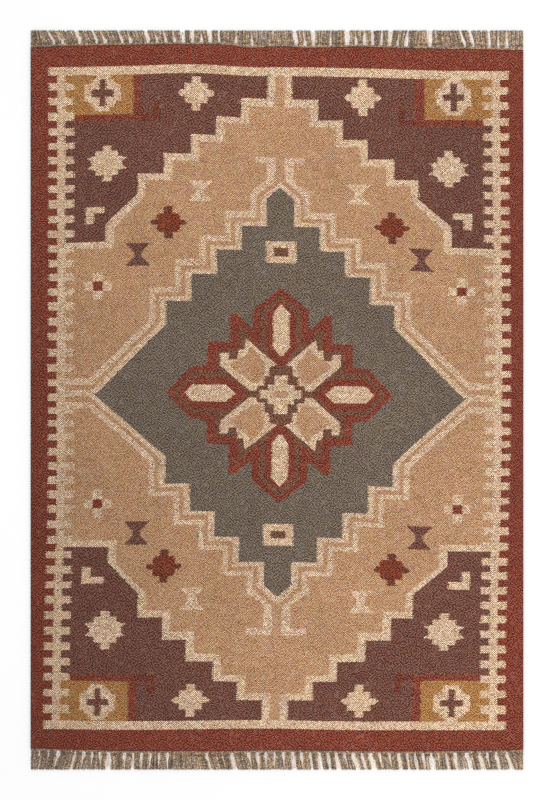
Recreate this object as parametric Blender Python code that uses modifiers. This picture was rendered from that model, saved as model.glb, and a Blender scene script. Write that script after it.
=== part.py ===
"""Dhurrie rug: one flat handwoven cloth with a knotted, trimmed fringe along each short end.

Metres, +Z up. The rug lies flat with its underside at z = 0 and its middle at
the origin. Its width runs along X and its length along Y, head end at +Y.
"""

import math

import bmesh
import bpy
from mathutils import Matrix

# ---------------------------------------------------------------- sizes
WIDTH = 1.221  # selvedge to selvedge
LENGTH = 1.828  # trimmed fringe tips, head to foot
CLOTH_THICK = 0.005  # weft-faced flatweave
CLOTH_ROUND = 0.0015  # soft rims of selvedges and ends
GAP = 0.0003  # between the cloth and each fringe

BUNDLES = 58  # knotted yarn bundles along each end
PITCH = WIDTH / BUNDLES
CORD_DEEP = 0.0055  # the end cord that the bundles hang from
KNOT_DEEP = 0.0090
KNOT_SHARE = 0.8  # of its bundle's width
KNOT_THICK = 0.0060
YARN_THICK = 0.0036  # bundles lying flat
SLOT_ROOT = 0.0060  # clear width between two bundles at their knots
SLOT_TIP = 0.0016  # the same at the trimmed tips

# How the woven ends wander: where the last row of weft lies, in mm.
END_COLUMNS = ("x", "head", "foot")
END_LINE = (
    (-611, 871.8, -861),
    (-490, 876, -864),
    (-390, 877.5, -867),
    (-280, 879.5, -867.7),
    (-140, 879.6, -868.3),
    (-60, 870.5, -866.4),
    (0, 874.8, -865.4),
    (80, 870.6, -866.2),
    (200, 873.6, -867.9),
    (330, 869.4, -868.4),
    (470, 867.2, -867.2),
    (611, 865, -865),
)

# How far the tips of the bundles lean along +X, in mm, at places across the width.
LEAN_COLUMNS = ("x", "head", "foot")
LEAN = (
    (-611, 0, 0),
    (-575, -9, -10),
    (-535, -18, -13),
    (-490, -9, -9),
    (-440, -11, 1),
    (-320, -9, -3),
    (-240, -2, 1),
    (-170, -1, 10),
    (-100, 0, 8),
    (0, 0, 1),
    (50, -5, 4),
    (130, 1, 5),
    (190, -2, 11),
    (320, 5, 5),
    (400, -4, 5.6),
    (470, -12, 8),
    (525, -1, 8.7),
    (570, 0, 12.4),
    (611, 0, 0),
)

# How far the knots have slid along the cord from even spacing, in mm.
SLID_COLUMNS = ("x", "head", "foot")
SLID = (
    (-611, 0, 0),
    (-540, -4, 7),
    (-480, -3.2, 6.5),
    (-420, -3.7, 4),
    (-360, -3.7, 2),
    (-300, -2.2, 2.8),
    (-240, 0, 2.5),
    (-180, 3.5, -5),
    (-120, 4.3, -6.2),
    (-60, 1.5, -6.2),
    (0, 3, -6.5),
    (56, 6.2, -3),
    (116, 5.7, 0),
    (175, 6.4, -1),
    (234, 5.5, 0),
    (300, 4, 6.9),
    (337, 2, 4.5),
    (379, 0, 3.2),
    (400, -1, -1.7),
    (442, 0, -4),
    (463, 1.5, 8.5),
    (484, 1.5, 2.5),
    (505, 0, -3.2),
    (526, -0.5, -7.5),
    (547, 0, -6),
    (568, 0, 0),
    (611, 0, 0),
)

# Slots that stand wide open: which end, its place across in mm, and how much
# wider than the rest it is at the knots and at the tips, in mm.
OPEN_COLUMNS = ("end", "x", "root", "tip")
OPEN_SLOTS = (
    ("head", -488, 3, 3),
    ("head", -322, 4, 5),
    ("head", -233, 3, 7),
    ("head", 45, 4, 7),
    ("head", 92, 4, 2),
    ("head", 172, 4, 9),
    ("head", 280, 3, 2),
    ("head", 376, 3, 3),
    ("foot", -537, 2, 2),
    ("foot", -418, 4, 7),
    ("foot", -114, 2, 4),
    ("foot", 33, 4, 5),
    ("foot", 110, 4, 2),
    ("foot", 190, 5, 8),
    ("foot", 234, 4, 6),
    ("foot", 384, 4, 5),
    ("foot", 497, 4, 6),
)


def read(table, columns, column, x):
    """A table's column at a place across the width, eased from row to row (mm in, mm out)."""
    at = columns.index(column)
    for left, right in zip(table, table[1:]):
        if x <= right[0]:
            t = max(0.0, (x - left[0]) / (right[0] - left[0]))
            return left[at] + (right[at] - left[at]) * t * t * (3 - 2 * t)
    return table[-1][at]


def end_line(end, x):
    return read(END_LINE, END_COLUMNS, end, x * 1000) / 1000


def lean(end, x):
    return read(LEAN, LEAN_COLUMNS, end, x * 1000) / 1000


def uneven(number, salt):
    """A fixed hand-made unevenness from -1 to 1."""
    return 2 * ((math.sin(number * 12.9898 + salt * 78.233) * 43758.5453) % 1.0) - 1


def slot(end, number):
    """One slot between two bundles: place and half width at its root and at its tip."""
    x = -WIDTH / 2 + PITCH * number
    salt = 1 if end == "head" else 2
    root = SLOT_ROOT * (1 + 0.15 * uneven(number, salt))
    tip = SLOT_TIP * (1 + 0.5 * uneven(number, salt + 4))
    for which, place, more_root, more_tip in OPEN_SLOTS:
        if which == end and abs(place / 1000 - x) <= PITCH / 2:
            root += more_root / 1000
            tip += more_tip / 1000
    x_tip = x + lean(end, x) + 0.0012 * uneven(number, salt + 8)
    slid = read(SLID, SLID_COLUMNS, end, x * 1000) / 1000
    return x + slid, root / 2, x_tip + slid, tip / 2


def stations(count=60):
    return [-WIDTH / 2 + WIDTH * i / count for i in range(count + 1)]


def cloth_outline():
    head = [(x, end_line("head", x)) for x in stations()]
    foot = [(x, end_line("foot", x)) for x in stations()]
    return foot + head[::-1]


def comb_outline(end):
    """The comb from the cloth's edge out to the tips, counter-clockwise for the head."""
    out = 1 if end == "head" else -1
    points = [(x, end_line(end, x) + out * GAP) for x in stations()]
    points.append((WIDTH / 2, out * LENGTH / 2))
    for number in range(BUNDLES - 1, 0, -1):
        x, half_root, x_tip, half_tip = slot(end, number)
        root_y = end_line(end, x) + out * (GAP + CORD_DEEP)
        points += [
            (x_tip + half_tip, out * LENGTH / 2),
            (x + half_root, root_y),
            (x - half_root, root_y),
            (x_tip - half_tip, out * LENGTH / 2),
        ]
    points.append((-WIDTH / 2, out * LENGTH / 2))
    return points


def flat_piece(name, outline, thick):
    """A flat outline as a filled 2D curve, lying on z = 0."""
    curve = bpy.data.curves.new(name, "CURVE")
    curve.dimensions = "2D"
    curve.fill_mode = "BOTH"
    curve.extrude = thick / 2
    spline = curve.splines.new("POLY")
    spline.points.add(len(outline) - 1)
    for point, (x, y) in zip(spline.points, outline):
        point.co = (x, y, 0, 1)
    spline.use_cyclic_u = True
    piece = bpy.data.objects.new(name, curve)
    piece.location.z = thick / 2
    return piece


def as_mesh(piece):
    """The same piece as a closed mesh, so that it can be joined with another."""
    bpy.context.view_layer.update()
    evaluated = piece.evaluated_get(bpy.context.evaluated_depsgraph_get())
    mesh = bpy.data.meshes.new_from_object(evaluated)
    bm = bmesh.new()
    bm.from_mesh(mesh)
    bmesh.ops.remove_doubles(bm, verts=bm.verts, dist=1e-6)
    bmesh.ops.recalc_face_normals(bm, faces=bm.faces)
    bm.to_mesh(mesh)
    bm.free()
    name, matrix = piece.name, piece.matrix_world.copy()
    curve = piece.data
    bpy.data.objects.remove(piece)
    bpy.data.curves.remove(curve)
    solid = bpy.data.objects.new(name, mesh)
    solid.matrix_world = matrix
    return solid


def knots(end):
    """Every bundle's knot, a squat eight-sided bead, in one mesh."""
    out = 1 if end == "head" else -1
    bm = bmesh.new()
    for number in range(BUNDLES):
        left, half_left = slot(end, number)[:2]
        right, half_right = slot(end, number + 1)[:2]
        x = (left + half_left + right - half_right) / 2
        y = end_line(end, x) + out * (GAP + CORD_DEEP + KNOT_DEEP * 0.55)
        wide = KNOT_SHARE * (right - half_right - left - half_left)
        place = (
            Matrix.Translation((x, y, KNOT_THICK / 2 + 0.0005))
            @ Matrix.Diagonal((wide, KNOT_DEEP, KNOT_THICK - 0.001, 1))
            @ Matrix.Rotation(math.radians(22.5), 4, "Z")
        )
        bmesh.ops.create_cone(
            bm, cap_ends=True, segments=8, radius1=0.54, radius2=0.30, depth=1.0, matrix=place
        )
    mesh = bpy.data.meshes.new(f"{end}_knots")
    bm.to_mesh(mesh)
    bm.free()
    return bpy.data.objects.new(f"{end}_knots", mesh)


def material(name, colour, roughness):
    made = bpy.data.materials.new(name)
    made.use_nodes = True
    shader = made.node_tree.nodes["Principled BSDF"]
    shader.inputs["Base Color"].default_value = (*colour, 1)
    shader.inputs["Roughness"].default_value = roughness
    shader.inputs["Metallic"].default_value = 0.0
    return made


def main():
    for old in list(bpy.data.objects):
        bpy.data.objects.remove(old, do_unlink=True)

    rug = bpy.data.collections.new("dhurrie_rug")
    helpers = bpy.data.collections.new("helpers")
    bpy.context.scene.collection.children.link(rug)
    bpy.context.scene.collection.children.link(helpers)

    wool = material("woven_wool", (0.30, 0.17, 0.11), 0.95)
    jute = material("taupe_yarn", (0.27, 0.19, 0.13), 0.95)

    cloth = flat_piece("cloth", cloth_outline(), CLOTH_THICK)
    cloth.data.materials.append(wool)
    rug.objects.link(cloth)
    weld = cloth.modifiers.new("weld", "WELD")
    weld.merge_threshold = 0.00001
    rims = cloth.modifiers.new("rims", "BEVEL")
    rims.width = CLOTH_ROUND
    rims.segments = 2
    rims.limit_method = "ANGLE"
    rims.angle_limit = math.radians(40)

    for end in ("head", "foot"):
        comb = flat_piece(f"{end}_fringe", comb_outline(end), YARN_THICK)
        rug.objects.link(comb)
        comb = as_mesh(comb)
        comb.data.materials.append(jute)
        rug.objects.link(comb)
        beads = knots(end)
        beads.hide_render = True
        beads.display_type = "WIRE"
        helpers.objects.link(beads)
        joined = comb.modifiers.new("knots", "BOOLEAN")
        joined.operation = "UNION"
        joined.solver = "EXACT"
        joined.object = beads


main()
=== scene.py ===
"""Looks of the dhurrie rug: the woven pattern pick by pick, the end cords, knots and loose yarns.

Metres, +Z up, head end at +Y. The pattern is worked out on a weaving chart, in
squares from the middle of the rug, and is then laid on the cloth row by row.
"""

import math

import bpy
import numpy as np
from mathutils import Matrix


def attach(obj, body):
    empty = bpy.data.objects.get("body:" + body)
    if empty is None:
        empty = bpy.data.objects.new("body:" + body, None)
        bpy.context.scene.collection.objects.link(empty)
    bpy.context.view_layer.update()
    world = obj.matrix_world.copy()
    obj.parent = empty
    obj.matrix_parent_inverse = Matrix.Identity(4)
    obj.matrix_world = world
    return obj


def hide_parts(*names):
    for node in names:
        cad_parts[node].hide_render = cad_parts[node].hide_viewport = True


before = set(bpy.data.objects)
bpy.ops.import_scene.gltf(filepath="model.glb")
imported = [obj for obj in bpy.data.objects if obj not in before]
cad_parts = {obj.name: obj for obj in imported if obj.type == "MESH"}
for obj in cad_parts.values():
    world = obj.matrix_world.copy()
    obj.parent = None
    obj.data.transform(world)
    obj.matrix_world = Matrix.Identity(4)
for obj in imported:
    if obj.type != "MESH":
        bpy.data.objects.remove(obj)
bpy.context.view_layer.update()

# ---------------------------------------------------------------- sizes
WIDTH = 1.221
LENGTH = 1.828
GAP = 0.0003
BUNDLES = 58
PITCH = WIDTH / BUNDLES
CORD_DEEP = 0.0055
KNOT_DEEP = 0.0090
KNOT_SHARE = 0.8
SLOT_ROOT = 0.0060
SLOT_TIP = 0.0016

THICK = 0.0046  # the cloth, between its rounded rims
RIM = 0.0015
UV_NAME = "OFBake"

END_COLUMNS = ("x", "head", "foot")
END_LINE = (
    (-611, 871.8, -861),
    (-490, 876, -864),
    (-390, 877.5, -867),
    (-280, 879.5, -867.7),
    (-140, 879.6, -868.3),
    (-60, 870.5, -866.4),
    (0, 874.8, -865.4),
    (80, 870.6, -866.2),
    (200, 873.6, -867.9),
    (330, 869.4, -868.4),
    (470, 867.2, -867.2),
    (611, 865, -865),
)
LEAN_COLUMNS = ("x", "head", "foot")
LEAN = (
    (-611, 0, 0),
    (-575, -9, -10),
    (-535, -18, -13),
    (-490, -9, -9),
    (-440, -11, 1),
    (-320, -9, -3),
    (-240, -2, 1),
    (-170, -1, 10),
    (-100, 0, 8),
    (0, 0, 1),
    (50, -5, 4),
    (130, 1, 5),
    (190, -2, 11),
    (320, 5, 5),
    (400, -4, 5.6),
    (470, -12, 8),
    (525, -1, 8.7),
    (570, 0, 12.4),
    (611, 0, 0),
)
# How far the knots have slid along the cord from even spacing, in mm.
SLID_COLUMNS = ("x", "head", "foot")
SLID = (
    (-611, 0, 0),
    (-540, -4, 7),
    (-480, -3.2, 6.5),
    (-420, -3.7, 4),
    (-360, -3.7, 2),
    (-300, -2.2, 2.8),
    (-240, 0, 2.5),
    (-180, 3.5, -5),
    (-120, 4.3, -6.2),
    (-60, 1.5, -6.2),
    (0, 3, -6.5),
    (56, 6.2, -3),
    (116, 5.7, 0),
    (175, 6.4, -1),
    (234, 5.5, 0),
    (300, 4, 6.9),
    (337, 2, 4.5),
    (379, 0, 3.2),
    (400, -1, -1.7),
    (442, 0, -4),
    (463, 1.5, 8.5),
    (484, 1.5, 2.5),
    (505, 0, -3.2),
    (526, -0.5, -7.5),
    (547, 0, -6),
    (568, 0, 0),
    (611, 0, 0),
)

OPEN_COLUMNS = ("end", "x", "root", "tip")
OPEN_SLOTS = (
    ("head", -488, 3, 3),
    ("head", -322, 4, 5),
    ("head", -233, 3, 7),
    ("head", 45, 4, 7),
    ("head", 92, 4, 2),
    ("head", 172, 4, 9),
    ("head", 280, 3, 2),
    ("head", 376, 3, 3),
    ("foot", -537, 2, 2),
    ("foot", -418, 4, 7),
    ("foot", -114, 2, 4),
    ("foot", 33, 4, 5),
    ("foot", 110, 4, 2),
    ("foot", 190, 5, 8),
    ("foot", 234, 4, 6),
    ("foot", 384, 4, 5),
    ("foot", 497, 4, 6),
)


def read(table, columns, column, x):
    """A table's column at a place across the width, eased from row to row (mm in, mm out)."""
    at = columns.index(column)
    for left, right in zip(table, table[1:]):
        if x <= right[0]:
            t = max(0.0, (x - left[0]) / (right[0] - left[0]))
            return left[at] + (right[at] - left[at]) * t * t * (3 - 2 * t)
    return table[-1][at]


def end_line(end, x):
    return read(END_LINE, END_COLUMNS, end, x * 1000) / 1000


def lean(end, x):
    return read(LEAN, LEAN_COLUMNS, end, x * 1000) / 1000


def uneven(number, salt):
    """A fixed hand-made unevenness from -1 to 1."""
    return 2 * ((math.sin(number * 12.9898 + salt * 78.233) * 43758.5453) % 1.0) - 1


def slot(end, number):
    """One slot between two bundles: place and half width at its root and at its tip."""
    x = -WIDTH / 2 + PITCH * number
    salt = 1 if end == "head" else 2
    root = SLOT_ROOT * (1 + 0.15 * uneven(number, salt))
    tip = SLOT_TIP * (1 + 0.5 * uneven(number, salt + 4))
    for which, place, more_root, more_tip in OPEN_SLOTS:
        if which == end and abs(place / 1000 - x) <= PITCH / 2:
            root += more_root / 1000
            tip += more_tip / 1000
    x_tip = x + lean(end, x) + 0.0012 * uneven(number, salt + 8)
    slid = read(SLID, SLID_COLUMNS, end, x * 1000) / 1000
    return x + slid, root / 2, x_tip + slid, tip / 2


# ---------------------------------------------------------------- the weaving chart
SQUARE = 0.0024735  # one square of the chart
HALF_WIDE = 246.3  # squares, middle to selvedge
HALF_LONG = 352.5  # squares, middle to the last pick
PICKS = 656
PICK = 2 * HALF_LONG / PICKS
ENDS = 436  # warps, which the weft shows as dashes
MIDDLE = 145.0  # the tan field lies between the two closing stripes
SPINE = (213.9, 221.4)  # the comb's spine
TOOTH = (205.0, 230.2, 3.75)  # from, to, and half height
END_STRIPE = (322.5, 331.3)
STRIPE_IN = {"head": 322.5, "foot": 321.9}  # where each end's stripe begins

# Stepped outlines: each step's half width, and the height where it ends.
# Each corner of the rug has its own small slips of the hand in the field's outline.
STEP_COLUMNS = ("half", "top")
CORNER_COLUMNS = ("half", "top", "head_left", "head_right", "foot_left", "foot_right")
CORNER_STEPS = (
    (172.0, 171.0, 1.2, -0.9, -2.0, -1.4),
    (139.2, 220.8, 1.8, 0.0, -1.5, -2.7),
    (113.9, 242.0, 0.6, 0.5, -0.7, 0.8),
    (88.6, 262.4, -0.9, -0.4, 0.7, 1.0),
    (63.3, 282.0, 0.0, 0.0, -1.2, -1.8),
    (38.0, 301.0, 0.6, 0.0, 0.0, -0.7),
    (12.8, 322.5, -0.4, -0.8, 0.2, -0.4),
)
MEDALLION_STEPS = (
    (114.2, 91.0),
    (89.3, 118.6),
    (64.2, 143.0),
    (39.2, 168.0),
    (13.7, 196.0),
)
HEART_STEPS = ((21.0, 4.5), (13.0, 10.0), (6.5, 19.5))  # the flower's middle

# The lines round the medallion: how far each lies outside it on upright sides,
# on the head's and the foot's level sides, and on its slanting sides.
LINE_COLUMNS = ("across", "up_head", "up_foot", "slant", "yarn")
LINES = (
    (16.0, 14.3, 12.4, 21.7, "cream"),
    (10.2, 8.6, 8.0, 12.9, "tan"),
    (6.0, 4.4, 4.0, 7.8, "cream"),
    (0.0, 0.0, 0.0, 0.0, "slate"),
)

# Each slanting side of the medallion: where it would meet the middle line, how
# steeply it comes in, and how far its outer lines close up on it.
SIDE_COLUMNS = ("meets", "steep", "closer")
SIDES = {
    "head_left": (182.1, 1.014, 0.0),
    "head_right": (183.8, 1.026, 0.6),
    "foot_left": (185.7, 1.112, 0.4),
    "foot_right": (187.2, 1.055, 1.6),
}

# The slanting corner of the field's outline and the arch with its antlers differ
# a little between the two ends: corners as squares across, squares up.
SLANT_COLUMNS = ("corner", "line", "low_across", "low_up", "high_across", "high_up")
SLANT = {
    "head_left": ((173.4, 169.0), (141.0, 199.6), (165.4, 164.5), (133.3, 198.0)),
    "head_right": ((171.4, 173.0), (139.2, 200.0), (163.4, 168.5), (131.5, 199.0)),
    "foot_left": ((169.1, 167.0), (137.7, 197.0), (161.5, 167.0), (130.0, 196.8)),
    "foot_right": ((169.4, 167.0), (136.5, 197.0), (161.6, 167.0), (128.8, 196.8)),
}
ARCH = {
    "head": {
        "slate": ((13.7, 196.5), (0.0, 209.0)),
        "near": ((19.7, 197.0), (0.0, 214.8)),
        "inner": ((23.8, 199.5), (5.0, 215.5)),
        "outer": ((30.0, 202.0), (13.0, 216.8)),
        "arm": (235.4, 241.9, 24.3),
    },
    "foot": {
        "slate": ((14.4, 188.8), (0.0, 200.8)),
        "near": ((21.0, 190.5), (0.0, 208.0)),
        "inner": ((24.4, 193.5), (5.0, 209.3)),
        "outer": ((31.6, 196.6), (13.4, 208.2)),
        "arm": (229.6, 236.4, 30.0),
    },
}

# The flower's closed shapes, one quarter of each, charted on whole squares: across, up.
FLOWER_RIM = (
    (0, 107), (28, 85), (28, 67), (31, 67), (44, 80), (51, 80), (51, 52), (73, 52), (73, 28), (89, 26),
    (114, 0), (0, 0),
)
FLOWER_GROUND = (
    (0, 101), (20, 84), (20, 50), (27, 52), (36, 66), (42, 66), (42, 44), (64, 44), (64, 22), (87, 22),
    (107, 0), (0, 0),
)
UPRIGHT_HALO = ((0, 95), (15, 82), (15, 46), (4, 30), (0, 28))
UPRIGHT_PETAL = ((0, 91), (8, 82), (8, 48), (2, 40), (0, 40))
LEVEL_HALO = ((102, 0), (86, 16), (50, 16), (36, 3), (34, 0))
LEVEL_PETAL = ((95, 0), (87, 9), (55, 9), (45, 0))
LEAF = (
    (35, 56), (4, 30), (12, 28), (12, 18), (17, 18), (17, 9), (23, 9), (25, 3), (31, 3), (60, 28), (60, 41),
    (52, 41), (52, 34), (44, 34), (42, 45), (37, 45),
)
LEAF_HEART = ((29, 48), (16, 32), (16, 22), (22, 11), (29, 11), (52, 29), (34, 40))
FLOWER = (
    (FLOWER_RIM, "brick"),
    (FLOWER_GROUND, "umber"),
    (UPRIGHT_HALO, "brick"),
    (LEVEL_HALO, "brick"),
    (UPRIGHT_PETAL, "cream"),
    (LEVEL_PETAL, "cream"),
    (LEAF, "cream"),
    (LEAF_HEART, "tan"),
)

# Small motifs as bands that reach that far above and below the motif's middle,
# each with its half width there and at the motif's middle line.
BAND_COLUMNS = ("up_to", "half", "half_at_middle", "yarn")
BANDS = {
    "rosette": (
        (18.5, 7.4, 7.4, "cream"),
        (14.8, 10.2, 10.2, "cream"),
        (11.6, 12.8, 12.8, "cream"),
        (8.6, 17.8, 17.8, "cream"),
        (14.0, 3.3, 3.3, "aubergine"),
        (3.4, 10.8, 10.8, "aubergine"),
    ),
    "great_star": (
        (18.2, 4.3, 4.3, "cream"),
        (12.3, 11.2, 11.2, "cream"),
        (6.8, 15.5, 15.5, "cream"),
        (5.9, 20.6, 12.5, "cream"),
    ),
    "small_star": (
        (17.0, 4.2, 4.2, "cream"),
        (9.75, 11.3, 11.3, "cream"),
        (3.25, 15.5, 19.0, "cream"),
    ),
    "red_star": (
        (16.5, 4.2, 4.2, "russet"),
        (2.8, 15.5, 18.6, "russet"),
        (9.4, 10.0, 10.0, "scarlet"),
        (7.4, 11.5, 11.5, "scarlet"),
    ),
    "hourglass": ((11.2, 12.6, 1.6, "aubergine"), (11.2, 3.7, 3.7, "aubergine")),
    "pale_hourglass": ((10.8, 12.4, 2.0, "cream"), (10.8, 4.2, 4.2, "cream")),
    "cross": (
        (13.8, 4.9, 4.9, "cream"),
        (4.5, 13.6, 13.6, "cream"),
        (4.5, 5.0, 5.0, "brick"),
    ),
    "box": ((11.2, 15.0, 15.0, "cream"), (4.0, 7.6, 7.6, "umber")),
}
# Where each motif sits, and how far hand weaving moves it at each corner of the rug.
MOTIF_COLUMNS = ("motif", "across", "up", "head_left", "head_right", "foot_left", "foot_right")
MOTIFS = (
    ("rosette", 176, 304, (0.5, -0.3), (-0.9, 0.2), (0.6, -0.8), (0.6, 0.5)),
    ("great_star", 170, 233, (1.8, -1.6), (-0.3, -1.3), (0.1, -1.3), (-1.4, 0.5)),
    ("small_star", 83.5, 302.5, (-0.3, 0.2), (0.0, 0.6), (0.1, -1.2), (1.2, -0.9)),
    ("red_star", 112.5, 171.5, (-1.5, -1.5), (-0.6, -1.9), (0.9, -0.5), (1.4, 0.5)),
    ("hourglass", 141.5, 138.5, (0.3, -0.5), (-0.7, -0.8), (0.3, -0.1), (-0.5, 1.0)),
    ("pale_hourglass", 80.8, 204, (-2.1, -0.6), (-2.1, 0.1), (3.8, -1.0), (3.1, 0.2)),
    ("cross", 181.5, 108.7, (0.0, -1.9), (0.3, -1.0), (-0.5, 0.8), (-2.8, 1.7)),
    ("box", 0, 141, (0.0, 0.8), (0.0, 0.8), (0.0, -0.5), (0.0, -0.5)),
)
# Hooks: outer side, inner end, post's inner side; then top, bar's lower side and foot of the post.
HOOK_COLUMNS = ("corner", "outer", "inner", "post", "top", "bar", "bottom")
HOOKS = {
    "head_left": (193.6, 174.1, 185.1, 186.5, 180.2, 169.5),
    "head_right": (192.7, 173.7, 184.2, 186.5, 180.2, 169.5),
    "foot_left": (194.4, 172.9, 185.9, 186.8, 180.5, 170.5),
    "foot_right": (193.2, 171.2, 184.7, 190.0, 183.0, 171.5),
}

# How far the woven pattern drifts from the chart, in squares.
RISE_ACROSS = (-218, -150, -75, -37, 0, 75, 150, 218)
RISE = (
    (-327, 2.3, 1.5, 2.1, 2.7, 2.7, 1.3, 1.2, 1.1),
    (-270, 1.4, 0.6, 0.8, 0.1, -0.6, 0.3, 1.0, 0.7),
    (-210, 2.8, 3.2, 4.2, 3.8, 3.3, 2.7, 2.0, 0.3),
    (-160, 4.4, 4.5, 5.9, 6.1, 6.1, 4.0, 0.6, 0.0),
    (-105, 6.0, 6.3, 7.6, 5.6, 4.1, 5.5, 1.9, 1.0),
    (-50, 7.0, 7.6, 8.2, 6.5, 4.7, 5.6, 4.4, 1.8),
    (0, 6.4, 7.0, 7.1, 6.3, 5.5, 5.1, 2.8, 0.9),
    (50, 7.0, 8.4, 6.9, 5.6, 4.4, 3.9, 3.2, 1.0),
    (105, 6.2, 7.3, 7.7, 6.7, 5.0, 4.2, 1.3, 0.0),
    (160, 5.0, 7.4, 7.5, 6.7, 5.8, 4.3, 1.1, -1.1),
    (210, 3.8, 6.3, 5.4, 4.4, 3.3, 0.7, -0.8, -1.8),
    (270, 2.7, 4.6, 3.0, 0.6, -1.8, -2.5, -1.6, -2.2),
    (327, 1.5, 2.8, 4.3, 1.8, 1.6, 0.5, -1.7, -2.5),
)
SHIFT_ACROSS = (-218, -110, 0, 110, 218)
SHIFT = (
    (-327, -3.2, -3.6, -2.2, -3.4, -1.8),
    (-220, -1.8, -1.5, -0.3, -0.9, -1.6),
    (-110, 1.4, 1.9, 1.8, 1.8, 1.4),
    (0, 1.6, 2.5, 4.0, 1.8, 3.2),
    (110, 2.0, 3.3, 4.3, 3.8, 2.8),
    (220, 2.2, 1.8, 3.1, 2.4, 1.6),
    (327, 2.2, 2.8, 3.1, 1.7, 0.8),
)
# How far the comb's teeth drift along the sides, over and above that, in squares.
TEETH_DRIFT = (
    ("up", "left", "right"),
    (-327, 0.0, 0.0),
    (-297, 3.0, 2.3),
    (-267, 4.6, 2.6),
    (-237, 5.1, 2.6),
    (-207, 5.3, 2.2),
    (-178, 4.1, 1.7),
    (-148, 3.8, 1.5),
    (-118, 4.0, 1.8),
    (-89, 2.5, 1.0),
    (-59, 0.8, 0.1),
    (-30, -0.6, -3.5),
    (-15, -3.1, -3.5),
    (0, -3.7, -3.3),
    (30, -4.4, -4.9),
    (59, -2.8, -3.2),
    (89, -1.7, -1.3),
    (118, -2.3, -1.1),
    (148, -2.0, -1.6),
    (178, -1.9, -1.5),
    (207, -0.9, -1.9),
    (237, -1.5, -2.4),
    (267, -2.1, -2.5),
    (297, -1.0, -1.0),
    (327, 0.0, 0.0),
)


def through(knots, values, at):
    """A smooth curve through values at the knots, read at one or many places."""
    knots, values = np.asarray(knots, float), np.asarray(values, float)
    slopes = np.gradient(values, knots, axis=0)
    at = np.asarray(at, float)
    i = np.clip(np.searchsorted(knots, at) - 1, 0, len(knots) - 2)
    span = knots[i + 1] - knots[i]
    t = np.clip((at - knots[i]) / span, 0, 1)
    if values.ndim > 1:
        t, span = t[..., None], span[..., None]
    return (
        (2 * t**3 - 3 * t**2 + 1) * values[i]
        + (t**3 - 2 * t**2 + t) * span * slopes[i]
        + (3 * t**2 - 2 * t**3) * values[i + 1]
        + (t**3 - t**2) * span * slopes[i + 1]
    )


def stepped(steps, y, over=0.0, up=0.0):
    """Half width of a stepped outline at a height, moved out by some squares."""
    widths = [half + over for half, top in steps if y < top + up]
    return max(widths) if widths else 0.0


def along(line, y):
    """Where the line between two corners is at a height."""
    (x0, y0), (x1, y1) = line
    return x0 + (x1 - x0) * (y - y0) / (y1 - y0)


def cut(corners, y):
    """Where a level line crosses a closed shape, in pairs from the middle outwards."""
    found = []
    for (x0, y0), (x1, y1) in zip(corners, corners[1:] + corners[:1]):
        if (y0 <= y) != (y1 <= y):
            found.append(x0 + (x1 - x0) * (y - y0) / (y1 - y0))
    found.sort()
    return list(zip(found[::2], found[1::2]))


TEETH = [14.8 * m if m <= 10 else 148.0 + 14.908 * (m - 10) for m in range(22)]


def in_tooth(y, end, side):
    """Whether a height on one side lies in a tooth of the comb."""
    sign = 1 if end == "head" else -1
    column = TEETH_DRIFT[0].index(side)
    rows = TEETH_DRIFT[1:]
    drift = through([r[0] for r in rows], [r[column] for r in rows], sign * y)
    at = sign * y - float(drift)
    return min(abs(abs(at) - tooth) for tooth in TEETH) < TOOTH[2]


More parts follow.
